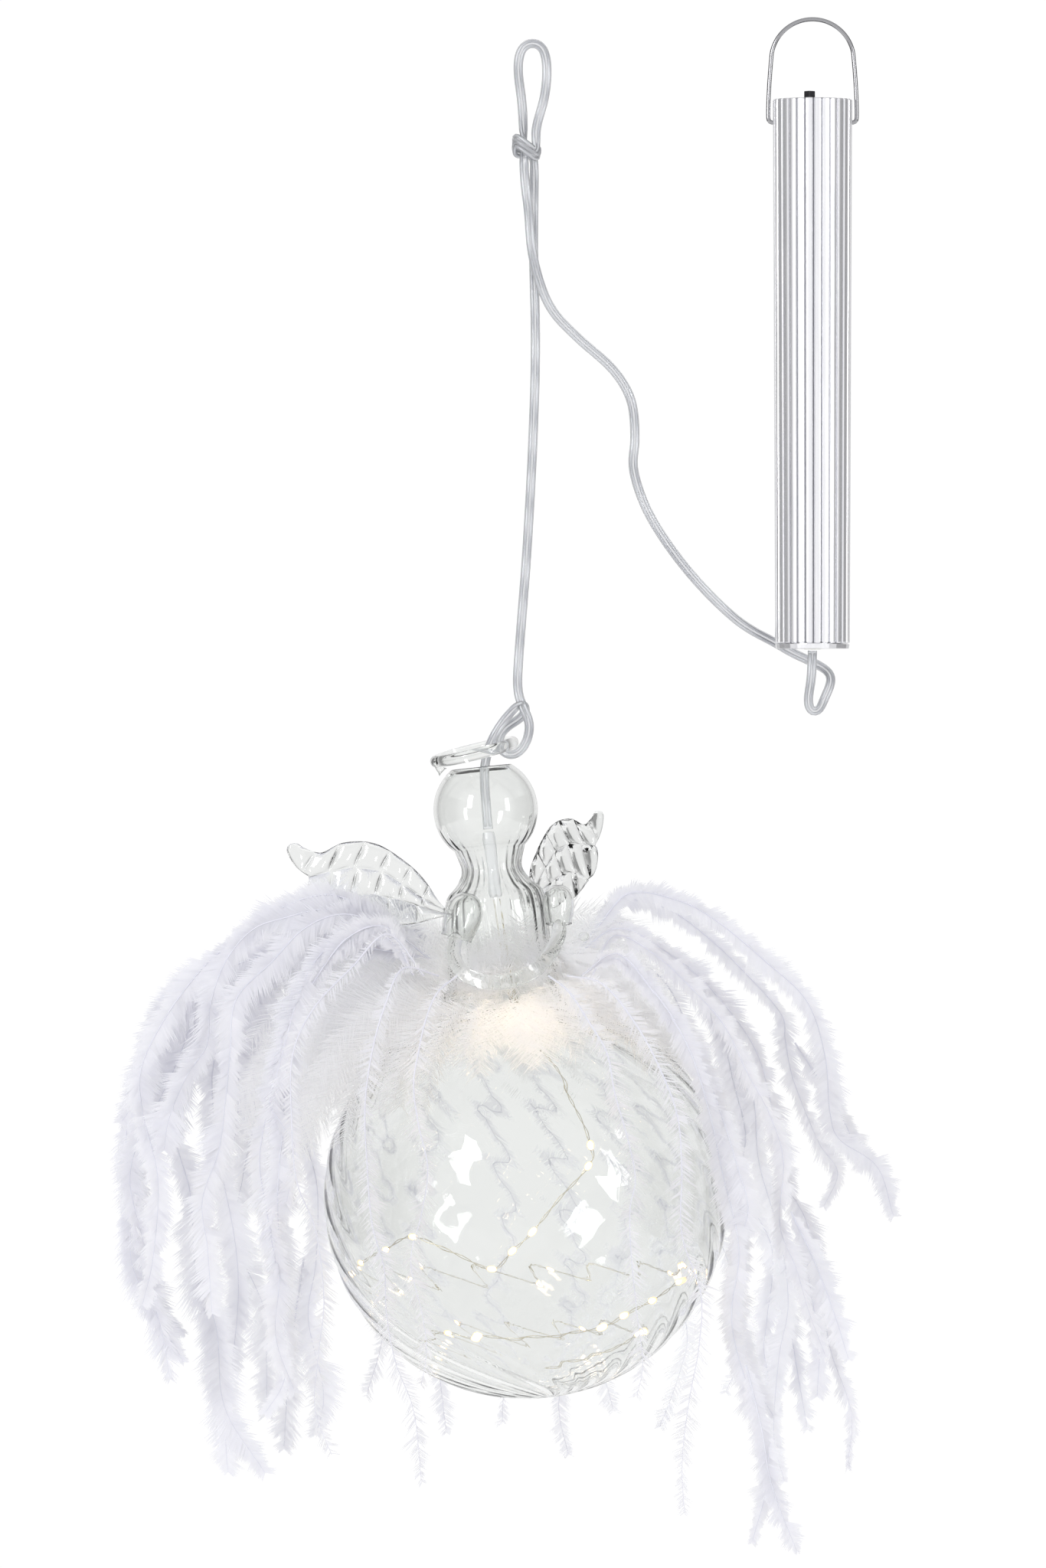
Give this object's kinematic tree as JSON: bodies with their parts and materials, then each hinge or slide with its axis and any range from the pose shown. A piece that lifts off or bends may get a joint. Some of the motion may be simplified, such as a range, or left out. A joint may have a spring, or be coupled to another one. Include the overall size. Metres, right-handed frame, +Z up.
{
  "type": "glass ball ornament",
  "caption": "Hanging clear glass angel with a ribbed ball body, wings and halo, white feather plumes and a lamp string inside, fed by a clear cord from a fluted battery tube.",
  "frame": {"origin": "top of the knotted hanging loop, where a hook carries the ornament", "axes": "+Z up along the hanging cord, +X towards the battery tube, -Y towards the front of the ornament"},
  "size_m": [0.2477, 0.1663, 0.4896],
  "materials": {
    "clear_glass": "clear mouth-blown glass, fire polished",
    "white_feather": "bleached white ostrich plume, soft and matte",
    "white_fluff": "white marabou down, soft and translucent",
    "clear_cord": "clear PVC twin cord over tinned strands",
    "lamp_wire": "lacquered silver wire with clear resin lamp beads, warm white",
    "silver_plastic": "moulded plastic with a bright silver lacquer",
    "bail_wire": "bright plated round wire",
    "black_plastic": "black moulded plastic",
    "plated_steel": "nickel plated steel",
    "circuit_board": "green solder mask over glass epoxy",
    "white_plastic": "white moulded plastic",
    "battery_jacket": "plain printed foil jacket, unmarked"
  },
  "bodies": {
    "root": {"cord_lead": "clear_cord", "cord_knot": "clear_cord", "cord_loop": "clear_cord", "cord_drop": "clear_cord", "cord_hitch": "clear_cord", "top_plate": "black_plastic", "switch_body": "plated_steel", "circuit_board": "circuit_board", "contact_plate": "plated_steel", "battery_carrier": "white_plastic", "battery_1": "battery_jacket", "battery_2": "battery_jacket", "battery_3": "battery_jacket", "contact_spring": "plated_steel", "bottom_cap": "silver_plastic", "cord_grommet": "white_plastic"},
    "angel": {"glass_ball": "clear_glass", "glass_head_and_bust": "clear_glass", "halo": "clear_glass", "wing_left": "clear_glass", "wing_right": "clear_glass", "arm_sleeve_left": "clear_glass", "arm_sleeve_right": "clear_glass", "arm_rod": "clear_glass", "clear_bead": "clear_glass", "fluff_collar": "white_fluff", "plume_01": "white_feather", "plume_02": "white_feather", "plume_03": "white_feather", "plume_04": "white_feather", "plume_05": "white_feather", "plume_06": "white_feather", "plume_07": "white_feather", "plume_08": "white_feather", "plume_09": "white_feather", "plume_10": "white_feather", "plume_11": "white_feather", "plume_12": "white_feather", "plume_13": "white_feather", "plume_14": "white_feather", "plume_15": "white_feather", "plume_16": "white_feather", "plume_17": "white_feather", "plume_18": "white_feather", "plume_19": "white_feather", "plume_20": "white_feather", "plume_21": "white_feather", "plume_22": "white_feather", "plume_23": "white_feather", "plume_24": "white_feather", "lamp_string": "lamp_wire", "splice_sleeve": "clear_cord", "cord_tail": "clear_cord"},
    "sleeve": {"tube_sleeve": "silver_plastic"},
    "bail": {"wire_bail": "bail_wire"},
    "knob": {"switch_knob": "black_plastic"}
  },
  "joints": [
    {"name": "angel_swing", "type": "hinge", "parent": "root", "child": "angel", "pos_m": [-0.0063, 0, -0.2264], "axis": [0, 1, 0], "range_deg": [-18, 18]},
    {"name": "sleeve_slide", "type": "slide", "parent": "root", "child": "sleeve", "axis": [0, 0, 1], "range_m": [0, 0.15]},
    {"name": "bail_turn", "type": "hinge", "parent": "sleeve", "child": "bail", "pos_m": [0.09, 0, -0.0273], "axis": [1, 0, 0], "range_deg": [-150, 150]},
    {"name": "switch_travel", "type": "slide", "parent": "root", "child": "knob", "axis": [0.766, 0.6428, 0], "range_m": [0, 0.0025]}
  ]
}
